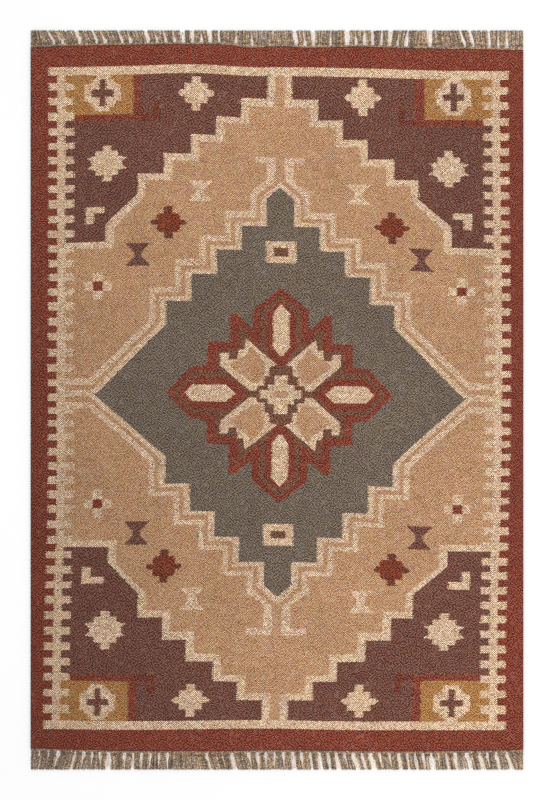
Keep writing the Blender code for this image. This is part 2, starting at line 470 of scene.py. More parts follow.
def quarter_row(y, end, side):
    """The yarns of one pick from the middle to one selvedge, as (from, to, yarn), later ones on top."""
    layers = [(0.0, HALF_WIDE + 1, "brick")]

    def put(a, b, yarn):
        layers.append((a, b, yarn))

    corner = f"{end}_{side}"
    # end stripe, comb, grounds
    if STRIPE_IN[end] <= y < END_STRIPE[1]:
        put(0, TOOTH[1], "cream")
        return layers
    if y >= END_STRIPE[1]:
        return layers
    put(0, SPINE[1], "cream")
    put(0, SPINE[0], "aubergine" if y > MIDDLE else "tan")
    # mustard block with its red frame and hook
    frame_side = 135.5 if corner == "head_right" else 138.5
    if 282 <= y < 322.5:
        put(146, SPINE[0], "mustard")
    if 275.5 <= y < 322.5:
        put(frame_side, 146, "brick")
    if 275.5 <= y < 282:
        put(frame_side, TOOTH[0], "brick")
        put(119.5, frame_side, "russet")
    elif 282 <= y < 293:
        put(119.5, 126, "russet")
    # closing stripe
    if MIDDLE <= y < 151:
        put(164, SPINE[1], "cream")
    tooth = in_tooth(y, end, side)
    if tooth:
        put(TOOTH[0], TOOTH[1], "cream")
    # stepped outline of the field
    if y >= MIDDLE:
        low, high, low_in, high_in = SLANT[corner]
        at = CORNER_COLUMNS.index(corner)
        steps = [(row[0] + row[at], row[1]) for row in CORNER_STEPS]
        outer = stepped(steps, y)
        inner = max(stepped(steps, y + 7.3) - 7.7, 5.3)
        if y < high[1]:
            outer = min(low[0], along((low, high), y))
        if y < high_in[1]:
            inner = min(low_in[0], along((low_in, high_in), y))
        elif y < 213.5:
            inner = high_in[0]
        put(0, outer, "cream")
        put(0, inner, "tan")
    hook = HOOKS[corner]
    if hook[4] < y < hook[3]:
        put(hook[1], hook[0], "cream")
    if hook[5] < y < hook[3]:
        put(hook[2], hook[0], "cream")
    # small motifs under the medallion's lines
    column = MOTIF_COLUMNS.index(corner)
    for row in MOTIFS[:-1]:
        motifs(layers, row, row[column], y)
    # lines from the medallion's points to the combs
    if y < 2.9:
        put(0, SPINE[0], "cream")
    elif y < 9.1:
        put(0, SPINE[0], "tan")
    elif y < 14.9:
        put(0, SPINE[0], "cream")
    # medallion, its arch and its lines
    arch = ARCH[end]
    if y < arch["slate"][0][1] - 1.0:
        for across, up_head, up_foot, over, yarn in LINES:
            if across > 6.0 and y < 9.1:
                continue
            up = up_head if end == "head" else up_foot
            half = stepped(MEDALLION_STEPS, y, across, up)
            if y < 80:
                meets, steep, closer = SIDES[corner]
                half = max(half, meets + over * (1 - closer / 21.7) - steep * y)
            put(0, half, yarn)
    else:
        if y < arch["arm"][1]:
            low, high = arch["outer"]
            half = stepped(MEDALLION_STEPS, y, 16.0, 12.0)
            outer = low[0] if y < low[1] else (along((low, high), y) if y < high[1] else high[0])
            put(0, max(outer, half if y < low[1] else 0), "cream")
            low, high = arch["inner"]
            inner = low[0] if y < low[1] else (along((low, high), y) if y < high[1] else high[0])
            put(0, inner, "tan")
        for part, yarn in (("near", "cream"), ("slate", "slate")):
            low, high = arch[part]
            if y < high[1]:
                put(0, min(low[0], along(arch[part], y)), yarn)
        low, high, reach = arch["arm"]
        if low < y < high:
            put(arch["inner"][1][0], reach, "cream")
    motifs(layers, MOTIFS[-1], MOTIFS[-1][column], y)
    # flower
    for corners, yarn in FLOWER:
        for a, b in cut(corners, y):
            put(a, b, yarn)
    half = stepped(HEART_STEPS, y)
    if half:
        put(0, half, "cream")
    if y < 3.6:
        put(0, 6.5, "tan")
    return layers


def motifs(layers, row, moved, y):
    """One motif's bands at a height."""
    name, across, up = row[:3]
    across, dy = across + moved[0], abs(y - up - moved[1])
    for up_to, half, at_middle, yarn in BANDS[name]:
        if dy < up_to:
            wide = at_middle + (half - at_middle) * dy / up_to
            layers.append((max(0.0, across - wide), across + wide, yarn))


def flatten(layers):
    """Overlapping layers as runs that follow one another: (from, to, yarn)."""
    marks = sorted({max(0.0, a) for a, b, _ in layers} | {min(b, HALF_WIDE) for a, b, _ in layers})
    runs = []
    for a, b in zip(marks, marks[1:]):
        if b - a < 0.6:
            continue
        mid = (a + b) / 2
        yarn = [n for low, high, n in layers if low <= mid <= high][-1]
        if runs and runs[-1][2] == yarn:
            runs[-1] = (runs[-1][0], b, yarn)
        else:
            runs.append((runs[-1][1] if runs else 0.0, b, yarn))
    runs[-1] = (runs[-1][0], HALF_WIDE, runs[-1][2])
    return runs


def pick_runs(number):
    """One pick from selvedge to selvedge."""
    y = -HALF_LONG + (number + 0.5) * PICK
    end = "head" if y > 0 else "foot"
    right = flatten(quarter_row(abs(y), end, "right"))
    left = flatten(quarter_row(abs(y), end, "left"))
    runs = [(-b, -a, yarn) for a, b, yarn in reversed(left)]
    for a, b, yarn in right:
        if runs[-1][2] == yarn:
            runs[-1] = (runs[-1][0], b, yarn)
        else:
            runs.append((a, b, yarn))
    return runs


# ---------------------------------------------------------------- the cloth
KEYS = 4  # places along a pick are kept as whole quarters of a square
SELVEDGE = 988
YARNS = ("brick", "cream", "tan", "aubergine", "slate", "mustard", "umber", "russet", "scarlet", "selvedge")
CELLS = (888, 664)  # weave cells across the UV square and up it; each face of the cloth takes half


def dovetail(picks):
    """Every pick's joins as whole keys, with neighbouring picks' ends dovetailed."""
    joins = [[round(b, 2) for a, b, _ in runs[:-1]] for runs in picks]
    rows = []
    for number, runs in enumerate(picks):
        near = set()
        for other in (number - 1, number + 1):
            if 0 <= other < len(picks):
                near.update(joins[other])
        keys = [-SELVEDGE]
        for i, place in enumerate(joins[number]):
            level = any(abs(place - other) < 0.06 for other in near)
            step = 0.62 * (1 if number % 2 else -1) if level else 0.0
            step += 0.4 * uneven(number * 31 + i, 7)
            keys.append(max(keys[-1] + 3, round(KEYS * (place + step))))
        keys.append(SELVEDGE)
        for i in range(len(keys) - 2, 0, -1):
            keys[i] = min(keys[i], keys[i + 1] - 2)
        rows.append((keys, [yarn for _, _, yarn in runs]))
    return rows


def lift(x, y):
    """How far the cloth stands off the floor where it ripples."""
    return 0.0005 + 0.00025 * (
        np.sin(x * 9.1 + 1.7 * np.sin(y * 3.1))
        + 0.8 * np.sin(y * 12.7 + 1.1 * np.sin(x * 4.3 + 0.6))
    )


def place_line(number, keys):
    """Where the points of one row line lie on the rug, in metres."""
    x = np.array([HALF_WIDE * np.sign(k) if abs(k) == SELVEDGE else k / KEYS for k in keys])
    y = -HALF_LONG + number * PICK
    inside = float(np.clip(y, -END_STRIPE[1], END_STRIPE[1]))
    rise = through(RISE_ACROSS, through([r[0] for r in RISE], [r[1:] for r in RISE], inside), np.clip(x, -218, 218))
    shift = through(SHIFT_ACROSS, through([r[0] for r in SHIFT], [r[1:] for r in SHIFT], inside), np.clip(x, -218, 218))
    shift = shift * np.clip((HALF_WIDE - np.abs(x)) / (HALF_WIDE - 232), 0, 1)
    out_x = (x + shift) * SQUARE
    out_y = (y + rise) * SQUARE
    if abs(y) > END_STRIPE[1]:
        end = "head" if y > 0 else "foot"
        t = (abs(y) - END_STRIPE[1]) / (HALF_LONG - END_STRIPE[1])
        edge = np.array([end_line(end, v) for v in out_x])
        first = (math.copysign(END_STRIPE[1], y) + rise) * SQUARE
        out_y = first + (edge - first) * t
    return out_x, out_y


def weave():
    """The cloth as one closed mesh: both faces carry the pattern, pick by pick."""
    picks = dovetail([pick_runs(number) for number in range(PICKS)])
    splits = list(range(-15 * 64, 15 * 64 + 1, 64))
    lines = []
    for number in range(PICKS + 1):
        keys = {-SELVEDGE, SELVEDGE}
        for other in (number - 1, number):
            if 0 <= other < PICKS:
                keys.update(picks[other][0])
        real = sorted(keys)
        keys.update(s for s in splits if min(abs(s - k) for k in real) >= 10)
        lines.append(sorted(keys))
    points, uvs, at = [], [], []
    for number, keys in enumerate(lines):
        x, y = place_line(number, keys)
        if number in (0, PICKS):
            y = y + (RIM if number == 0 else -RIM)
        scallop = 0.00025 * (1 - math.cos(math.pi * number))
        x[0] += RIM + scallop
        x[-1] -= RIM + scallop
        z = lift(x, y)
        at.append({k: len(points) + i for i, k in enumerate(keys)})
        points += list(zip(x, y, z))
        across = [4 + (k + SELVEDGE) / (2 * SELVEDGE) * ENDS for k in keys]
        uvs += [(a / CELLS[0], (4 + number) / CELLS[1]) for a in across]
    count = len(points)
    verts = [(x, y, z + THICK) for x, y, z in points] + points
    faces, paint, corners = [], [], []

    def face(ids, yarn, uv):
        faces.append(ids)
        paint.append(YARNS.index(yarn))
        corners.extend(uv)

    def both(ids, yarn):
        face(ids, yarn, [uvs[i] for i in ids])
        under = ids[::-1]
        face([i + count for i in under], yarn, [(uvs[i][0] + 0.5, uvs[i][1]) for i in under])

    for number, (keys, yarns) in enumerate(picks):
        for first, last, yarn in zip(keys, keys[1:], yarns):
            low = [k for k in lines[number] if first <= k <= last]
            high = [k for k in lines[number + 1] if first <= k <= last]
            i = j = 0
            below, above = at[number], at[number + 1]
            while i < len(low) - 1 or j < len(high) - 1:
                next_low = low[i + 1] if i < len(low) - 1 else 10**6
                next_high = high[j + 1] if j < len(high) - 1 else 10**6
                if next_low == next_high:
                    both([below[low[i]], below[next_low], above[next_high], above[high[j]]], yarn)
                    i, j = i + 1, j + 1
                elif next_low < next_high:
                    both([below[low[i]], below[next_low], above[high[j]]], yarn)
                    i += 1
                else:
                    both([below[low[i]], above[next_high], above[high[j]]], yarn)
                    j += 1

    # the rims, all the way round, counter-clockwise seen from above
    loop = [at[0][k] for k in lines[0]]
    loop += [at[n][SELVEDGE] for n in range(1, PICKS + 1)]
    loop += [at[PICKS][k] for k in reversed(lines[PICKS][:-1])]
    loop += [at[n][-SELVEDGE] for n in range(PICKS - 1, 0, -1)]
    sides = []
    for i in loop:
        x, y, z = points[i]
        u, v = uvs[i]
        ox = 1 if u * CELLS[0] > 4 + ENDS - 0.01 else (-1 if u * CELLS[0] < 4.01 else 0)
        oy = 1 if v * CELLS[1] > 4 + PICKS - 0.01 else (-1 if v * CELLS[1] < 4.01 else 0)
        bulge = RIM * (0.75 if ox and oy else 1.0)
        ids = []
        for height in (THICK - RIM, RIM):
            ids.append(len(verts))
            verts.append((x + ox * bulge, y + oy * bulge, z + height))
        out = [(u + ox * s / CELLS[0], v + oy * s / CELLS[1]) for s in (0.0, 0.8, 1.5)]
        sides.append((i, ids[0], ids[1], i + count, out))
    # the rims all take the dark selvedge yarn, painted shade along the cloth's edge
    for one, two in zip(sides, sides[1:] + sides[:1]):
        under = [(u + 0.5, v) for u, v in (one[4][0], one[4][1], two[4][1], two[4][0])]
        face([one[1], two[1], two[0], one[0]], "selvedge", [one[4][1], two[4][1], two[4][0], one[4][0]])
        face([one[2], two[2], two[1], one[1]], "selvedge", [one[4][2], two[4][2], two[4][1], one[4][1]])
        face([one[3], two[3], two[2], one[2]], "selvedge", [under[0], under[3], under[2], under[1]])

    mesh = bpy.data.meshes.new("woven_cloth")
    mesh.from_pydata([tuple(float(c) for c in v) for v in verts], [], faces)
    mesh.polygons.foreach_set("material_index", paint)
    mesh.polygons.foreach_set("use_smooth", [True] * len(faces))
    layer = mesh.uv_layers.new(name=UV_NAME)
    layer.data.foreach_set("uv", np.array(corners, np.float32).ravel())
    mesh.update()
    mesh.validate()
    cloth = bpy.data.objects.new("woven_cloth", mesh)
    bpy.context.scene.collection.objects.link(cloth)
    return cloth


# ---------------------------------------------------------------- the fringes
STRANDS = 9  # loose yarns in each bundle
STRAND_RADIUS = 0.00118
CORD_CENTRE = GAP + 0.0023
TILES = (36, 15)

# How far the bundles stand apart, by how well the fringe was combed out: the clear
# width of a slot at the knots, half way along and at the tips in mm, then the slots
# at each end. Bundles run together at all the others.
SLOT_COLUMNS = ("root", "middle", "tip", "head", "foot")
SLOTS_SEEN = (
    (9.0, 12.6, 11.4, (21, 31, 37, 42, 47), (9, 38, 40, 47, 53, 56)),
    (7.8, 11.0, 9.4, (6, 14, 18, 19, 33), (24, 31, 34, 36, 43, 51)),
    (9.0, 7.4, 2.2, (39, 41, 44), (27, 46)),
    (5.4, 6.8, 5.0, (3, 8, 11, 22, 40, 51, 52, 54), (5, 12, 21, 33, 35, 39, 44, 45, 49, 50, 55)),
    (7.4, 4.2, 0.6, (4, 9, 12, 15, 16, 17, 20, 24, 26, 32, 35, 38, 43, 55, 56), (3, 6, 7, 8, 11, 13, 14, 15, 16, 26, 28, 29, 30, 32, 37, 41, 42, 48, 54)),
)
SHUT = (-1.0, -0.8, -1.2)


def seen_slot(end, number):
    """A slot between two bundles as it lies: its place at the knots and at the tips, and its half widths."""
    x, _, x_tip, _ = slot(end, number)
    widths = SHUT
    for row in SLOTS_SEEN:
        if number in row[SLOT_COLUMNS.index(end)]:
            widths = row[:3]
    if number in (0, BUNDLES):
        widths = (2.4, 1.5, 0.6)
    salt = 61 if end == "head" else 67
    return x, x_tip, [w / 2000 * (1 + 0.25 * uneven(number, salt + i) * (w > 0)) for i, w in enumerate(widths)]


class Tubes:
    """Closed tubes of yarn in one mesh, each with its own tile of the UV square."""

    def __init__(self):
        self.verts, self.faces, self.uvs, self.tones, self.paint, self.count = [], [], [], [], [], 0

    def add(self, path, radius, sides, tile, tone, lobes=0.0, pitch=0.01, closed=False, flat=1.0, paint=0):
        path = np.asarray(path, float)
        rings = len(path)
        if closed:
            ahead = np.roll(path, -1, 0) - np.roll(path, 1, 0)
        else:
            ahead = np.gradient(path, axis=0)
        ahead /= np.linalg.norm(ahead, axis=1)[:, None]
        up = np.array([0.0, 0.0, 1.0])
        if closed:  # a ring round the bundle: keep its frame turning with it
            up = np.array([0.0, 1.0, 0.0])
        side = np.cross(ahead, up)
        side /= np.linalg.norm(side, axis=1)[:, None]
        top = np.cross(side, ahead)
        gone = np.concatenate([[0], np.cumsum(np.linalg.norm(np.diff(path, axis=0), axis=1))])
        radius = np.broadcast_to(radius, (rings,))
        theta = np.arange(sides) / sides * 2 * np.pi
        turn = (gone / pitch * 2 * np.pi)[:, None]
        r = radius[:, None] * (1 + lobes * np.cos(2 * (theta[None, :] - turn)))
        ring = (
            path[:, None, :]
            + (r * np.cos(theta))[:, :, None] * side[:, None, :]
            + (r * np.sin(theta) * flat)[:, :, None] * top[:, None, :]
        )
        base = self.count
        self.verts.append(ring.reshape(-1, 3))
        self.count += rings * sides
        self.tones += [tone] * (rings * sides)
        u0, v0, u1, v1 = tile
        spans = rings if closed else rings - 1
        for i in range(spans):
            n = (i + 1) % rings
            va, vb = v0 + (v1 - v0) * i / spans, v0 + (v1 - v0) * (i + 1) / spans
            for s in range(sides):
                t = (s + 1) % sides
                ua, ub = u0 + (u1 - u0) * s / sides, u0 + (u1 - u0) * (s + 1) / sides
                self.faces.append((base + i * sides + s, base + i * sides + t, base + n * sides + t, base + n * sides + s))
                self.uvs += [(ua, va), (ub, va), (ub, vb), (ua, vb)]
        if not closed:
            for i, order in ((0, -1), (rings - 1, 1)):
                ids = [base + i * sides + s for s in range(sides)][::order]
                self.faces.append(tuple(ids))
                v = v0 if i == 0 else v1
                self.uvs += [
                    ((u0 + u1) / 2 + 0.2 * (u1 - u0) * math.cos(a), v + (0.02 if i == 0 else -0.02) * (v1 - v0) * (1 + math.sin(a)))
                    for a in theta[::order]
                ]
        self.paint += [paint] * (len(self.faces) - len(self.paint))

    def piece(self, name):
        mesh = bpy.data.meshes.new(name)
        verts = np.concatenate(self.verts)
        verts[:, 2] = np.maximum(verts[:, 2], 0.0001)  # soft yarn lies flat where it meets the floor
        verts[:, 0] = np.clip(verts[:, 0], -WIDTH / 2 + 0.0005, WIDTH / 2 - 0.0005)
        mesh.from_pydata(verts.tolist(), [], self.faces)
        mesh.polygons.foreach_set("use_smooth", [True] * len(self.faces))
        mesh.polygons.foreach_set("material_index", self.paint)
        layer = mesh.uv_layers.new(name=UV_NAME)
        layer.data.foreach_set("uv", np.array(self.uvs, np.float32).ravel())
        tone = mesh.attributes.new("tone", "FLOAT", "POINT")
        tone.data.foreach_set("value", np.array(self.tones, np.float32))
        mesh.update()
        obj = bpy.data.objects.new(name, mesh)
        bpy.context.scene.collection.objects.link(obj)
        return obj


def fringe(end):
    """End cord, knots and loose yarns of one end."""
    out = 1 if end == "head" else -1
    salt = 20 if end == "head" else 40
    tubes = Tubes()
    # the end cord: two plies twisted round each other
    turns = WIDTH / 0.0086
    steps = int(turns * 8)
    t = np.linspace(0, 1, steps)
    x = -WIDTH / 2 + 0.0030 + t * (WIDTH - 0.0060)
    base_y = np.array([end_line(end, v) for v in x]) + out * CORD_CENTRE
    for ply in (0, 1):
        angle = t * turns * 2 * np.pi + ply * np.pi
        path = np.stack([x, base_y + 0.00105 * np.cos(angle), 0.0026 + 0.00105 * np.sin(angle)], 1)
        tubes.add(path, 0.00125, 6, (0.004, 0.905 + 0.045 * ply, 0.996, 0.945 + 0.045 * ply), 0.42 + 0.10 * ply, paint=1)
    # the first warp ends, pulled up close under the cord
    path = np.stack([x[::8], base_y[::8] - out * 0.0013, np.full(len(x[::8]), 0.0012)], 1)
    tubes.add(path, 0.0011, 4, (0.004, 0.902, 0.996, 0.9045), 0.20, paint=1)
    for number in range(BUNDLES):
        left, tip_left, halves_left = seen_slot(end, number)
        right, tip_right, halves_right = seen_slot(end, number + 1)
        half_left, half_right = halves_left[0], halves_right[0]
        knot_x = (left + half_left + right - half_right) / 2
        knot_y = end_line(end, knot_x) + out * (GAP + CORD_DEEP + KNOT_DEEP * 0.45)
        wide = min(PITCH * 0.98, right - half_right - left - half_left)

        def across(gone, share):
            """Where a strand lies across its bundle, at a share of the way from knot to tip."""
            low = left + (tip_left - left) * gone + float(np.interp(gone, (0, 0.36, 1), halves_left))
            high = right + (tip_right - right) * gone - float(np.interp(gone, (0, 0.36, 1), halves_right))
            low = -WIDTH / 2 + 0.0018 if number == 0 else low
            high = WIDTH / 2 - 0.0018 if number == BUNDLES - 1 else high
            low, high = low + STRAND_RADIUS, high - STRAND_RADIUS
            return low + (high - low) * min(1.0, max(0.0, share))

        for i in range(STRANDS):
            key = number * STRANDS + i
            f = (i + 0.5) / STRANDS
            layer = 1 if i % 2 else 0
            root = max(-WIDTH / 2 + 0.0030, min(WIDTH / 2 - 0.0030, left + (right - left) * f))
            spread = i / (STRANDS - 1) + 0.35 * uneven(key, salt) / STRANDS
            end_x = across(1.0, spread)
            end_y = out * (LENGTH / 2 - 0.0002 - 0.0014 * abs(uneven(key, salt + 1)) ** 2)
            waist = knot_x + (f - 0.5) * 0.86 * wide
            level = 0.0019 + 0.0020 * layer
            edge = end_line(end, root)
            stops = np.array(
                [
                    (root, edge + out * 0.0004, 0.0028),
                    (root + (waist - root) * 0.3, edge + out * (CORD_CENTRE + 0.0006), 0.0022 + 0.0008 * layer),
                    (waist, knot_y - out * 0.0024, 0.0022 + 0.0016 * layer),
                    (waist, knot_y + out * 0.0026, 0.0022 + 0.0016 * layer),
                    (across(0.36, spread), knot_y + (end_y - knot_y) * 0.36, level),
                    (across(0.72, spread) + 0.0006 * uneven(key, salt + 2), knot_y + (end_y - knot_y) * 0.72, level),
                    (end_x, end_y, level - 0.0003 + 0.0003 * uneven(key, salt + 3)),
                ]
            )
            gone = np.concatenate([[0], np.cumsum(np.linalg.norm(np.diff(stops, axis=0), axis=1))])
            path = through(gone, stops, np.linspace(0, gone[-1], 13))
            fluff = np.full(13, STRAND_RADIUS * (1 + 0.1 * uneven(key, salt + 4)))
            fluff[-1] *= 0.86
            tubes.add(path, fluff, 8, tile_of(key), 0.5 + 0.5 * uneven(key, salt + 5), lobes=0.2, pitch=0.0075)
        # a stray fibre or two that lies across the gap beside the bundle
        for i in range(2):
            key = number * 2 + i
            t = np.linspace(0, 1, 7)
            start = knot_x + (0.30 + 0.12 * i) * wide * (1 if i else -1)
            reach = start + 0.0046 * uneven(key, salt + 14) + 0.5 * ((tip_left + tip_right) / 2 - knot_x)
            tip_at = knot_y + out * (0.010 + 0.013 * abs(uneven(key, salt + 15)))
            path = np.stack(
                [
                    start + (reach - start) * t + 0.0014 * np.sin(t * 5 + key),
                    knot_y + (tip_at - knot_y) * t,
                    0.0040 - 0.0026 * t,
                ],
                1,
            )
            pale = 2 if uneven(key, salt + 16) > 0 else 0
            tubes.add(path, 0.00036, 4, tile_of(BUNDLES * STRANDS + (number % 9) * 2 + i), 0.7, lobes=0.0, paint=pale)
        # pale broken fibres that lie on the floor in an open slot
        if number and half_left > 0:
            for i in range(7 + int(4.5 * uneven(number, salt + 17))):
                key = number * 12 + i
                t = np.linspace(0, 1, 6)
                out_y = knot_y + out * (-0.0030 + 0.005 * abs(uneven(key, salt + 9)))
                tip_y = out * (LENGTH / 2 - 0.0008 - 0.006 * abs(uneven(key, salt + 10)))
                at_root = left + halves_left[1] * 0.8 * uneven(key, salt + 11)
                at_tip = tip_left + halves_left[2] * 0.9 * uneven(key, salt + 12)
                path = np.stack(
                    [
                        at_root + (at_tip - at_root) * t + 0.0008 * np.sin(t * 6 + key),
                        out_y + (tip_y - out_y) * t,
                        0.0008 + 0.0004 * np.sin(t * 9 + 2 * key),
                    ],
                    1,
                )
                tubes.add(path, 0.00072, 4, tile_of(BUNDLES * STRANDS + key % 18), 0.5 + 0.3 * uneven(key, salt + 13), lobes=0.0, paint=2)
        # the knot: three wraps of the bundle's own yarn
        for i, (shift, size, tilt) in enumerate(((-0.0024, 0.90, 0.30), (0.0, 1.0, 0.16), (0.0024, 0.90, 0.34))):
            angle = np.linspace(0, 2 * np.pi, 18, endpoint=False)
            half = size * max(0.0060, wide / 2 - 0.0008)
            dx = half * np.cos(angle)
            dy = tilt * dx * (1 if number % 2 else -1) * 0.3 + shift + 0.0004 * np.sin(2 * angle)
            dz = 0.0019 * size * np.sin(angle)
            path = np.stack([knot_x + dx, knot_y + out * dy, 0.0031 + dz], 1)
            tile = (
                (number + 0.06) / BUNDLES,
                0.81 + i * 0.03,
                (number + 0.94) / BUNDLES,
                0.81 + i * 0.03 + 0.027,
            )
            tubes.add(path, 0.00100, 6, tile, 0.16 + 0.16 * uneven(number, salt + 6 + i), closed=True)
    return tubes.piece(f"{end}_yarns")


def tile_of(key):
    """The tile of the UV square that one strand takes."""
    column, row = key % TILES[0], key // TILES[0]
    return (
        (column + 0.06) / TILES[0],
        (row + 0.04) * 0.8 / TILES[1],
        (column + 0.94) / TILES[0],
        (row + 0.96) * 0.8 / TILES[1],
    )


# ---------------------------------------------------------------- materials
class Graph:
    """Short ways to add nodes to a material."""

    def __init__(self, tree):
        self.tree = tree

    def node(self, kind, inputs=None, **settings):
        made = self.tree.nodes.new(kind)
        for name, value in settings.items():
            setattr(made, name, value)
        for name, value in (inputs or {}).items():
            self.feed(made.inputs[name], value)
        return made

    def feed(self, socket, value):
        if isinstance(value, bpy.types.NodeSocket):
            self.tree.links.new(value, socket)
        else:
            socket.default_value = value

    def math(self, operation, a, b=0.0, c=0.0):
        made = self.node("ShaderNodeMath", operation=operation)
        for socket, value in zip(made.inputs, (a, b, c)):
            self.feed(socket, value)
        return made.outputs[0]

    def vector(self, x=0.0, y=0.0, z=0.0):
        return self.node("ShaderNodeCombineXYZ", {"X": x, "Y": y, "Z": z}).outputs[0]

    def scale(self, colour, amount):
        made = self.node("ShaderNodeVectorMath", operation="SCALE")
        self.feed(made.inputs[0], colour)
        self.feed(made.inputs["Scale"], amount)
        return made.outputs[0]

    def mix(self, a, b, amount):
        made = self.node("ShaderNodeMix", data_type="RGBA")
        self.feed(made.inputs["Factor"], amount)
        self.feed(made.inputs[6], a)
        self.feed(made.inputs[7], b)
        return made.outputs[2]


def fabric(name):
    made = bpy.data.materials.new(name)
    made.use_nodes = True
    shader = made.node_tree.nodes["Principled BSDF"]
    shader.inputs["Metallic"].default_value = 0.0
    shader.inputs["Specular IOR Level"].default_value = 0.18
    shader.inputs["Sheen Weight"].default_value = 0.08
    shader.inputs["Sheen Roughness"].default_value = 0.6
    return made, shader, Graph(made.node_tree)


# Each dyed yarn: its colour, how unlike its dashes are, how much a dash stands out
# against the four beside it, how much painted light and shade set the dashes on top
# apart from the sunken ones, how hard the step from dark to pale is, and how much the palest stick out.
YARN_COLUMNS = ("yarn", "colour", "unlike", "against", "relief_shade", "hard", "pale")
DYES = {
    "brick": ((0.1645, 0.0273, 0.0126), 1.00, 1.3, 0.50, 2.0, 0.7),
    "cream": ((0.4921, 0.3253, 0.1996), 0.80, 1.2, 1.05, 0.2, 0.0),
    "tan": ((0.395, 0.2122, 0.105), 0.74, 1.3, 0.72, 0.0, 0.0),
    "aubergine": ((0.1232, 0.0417, 0.0261), 1.05, 1.3, 0.50, 2.0, 0.8),
    "slate": ((0.1298, 0.0932, 0.0651), 0.85, 1.3, 0.50, 1.5, 0.6),
    "mustard": ((0.3076, 0.1353, 0.0361), 0.75, 1.3, 0.65, 0.5, 0.2),
    "umber": ((0.1332, 0.0498, 0.0249), 1.00, 1.3, 0.50, 2.0, 0.8),
    "russet": ((0.124, 0.0252, 0.0123), 1.00, 1.3, 0.50, 2.0, 0.8),
    # the selvedge yarn is painted shade: much darker than the border beside it, for the shadow along the cloth's edge
    "selvedge": ((0.062, 0.0150, 0.0090), 0.80, 1.0, 0.40, 0.5, 0.3),
    "scarlet": ((0.1493, 0.0239, 0.0071), 1.00, 1.3, 0.50, 2.0, 0.8),
}


def painted_light_with_abrash(g, corners=1.0):
    """Painted light over the whole rug: a brightness fitted across and along it, darker towards the left and the long
    sides, paler towards both ends and tilted between opposite corners, standing in for lamplight that falls unevenly;
    times a random abrash, as between one batch of dye and the next.
    """
    where = g.node("ShaderNodeTexCoord").outputs["Object"]
    part = g.node("ShaderNodeSeparateXYZ", {"Vector": where})
    x = g.math("DIVIDE", part.outputs["X"], WIDTH / 2)
    y = g.math("DIVIDE", part.outputs["Y"], LENGTH / 2)
    light_and_abrash = PAINTED_LIGHT["even"]
    for name, amount in (
        (x, PAINTED_LIGHT["across"]),
        (y, PAINTED_LIGHT["along"]),
        (g.math("MULTIPLY", x, x), PAINTED_LIGHT["sides"]),
        (g.math("MULTIPLY", y, y), PAINTED_LIGHT["ends"]),
        (g.math("MULTIPLY", x, y), PAINTED_LIGHT["corner"] * corners),
    ):
        light_and_abrash = g.math("MULTIPLY_ADD", name, amount, light_and_abrash)
    abrash = g.node("ShaderNodeTexNoise", {"Vector": where, "Scale": 5.5, "Detail": 3.0, "Roughness": 0.6})
    return g.math("MULTIPLY", light_and_abrash, g.math("MULTIPLY_ADD", abrash.outputs[0], 0.36, 0.82)), where


# Painted light: how much paler or darker every yarn is painted across and along the rug, standing in for lamplight that
# falls unevenly.
PAINTED_LIGHT = {"even": 1.0, "across": 0.125, "along": 0.03, "sides": -0.095, "ends": 0.13, "corner": -0.112}


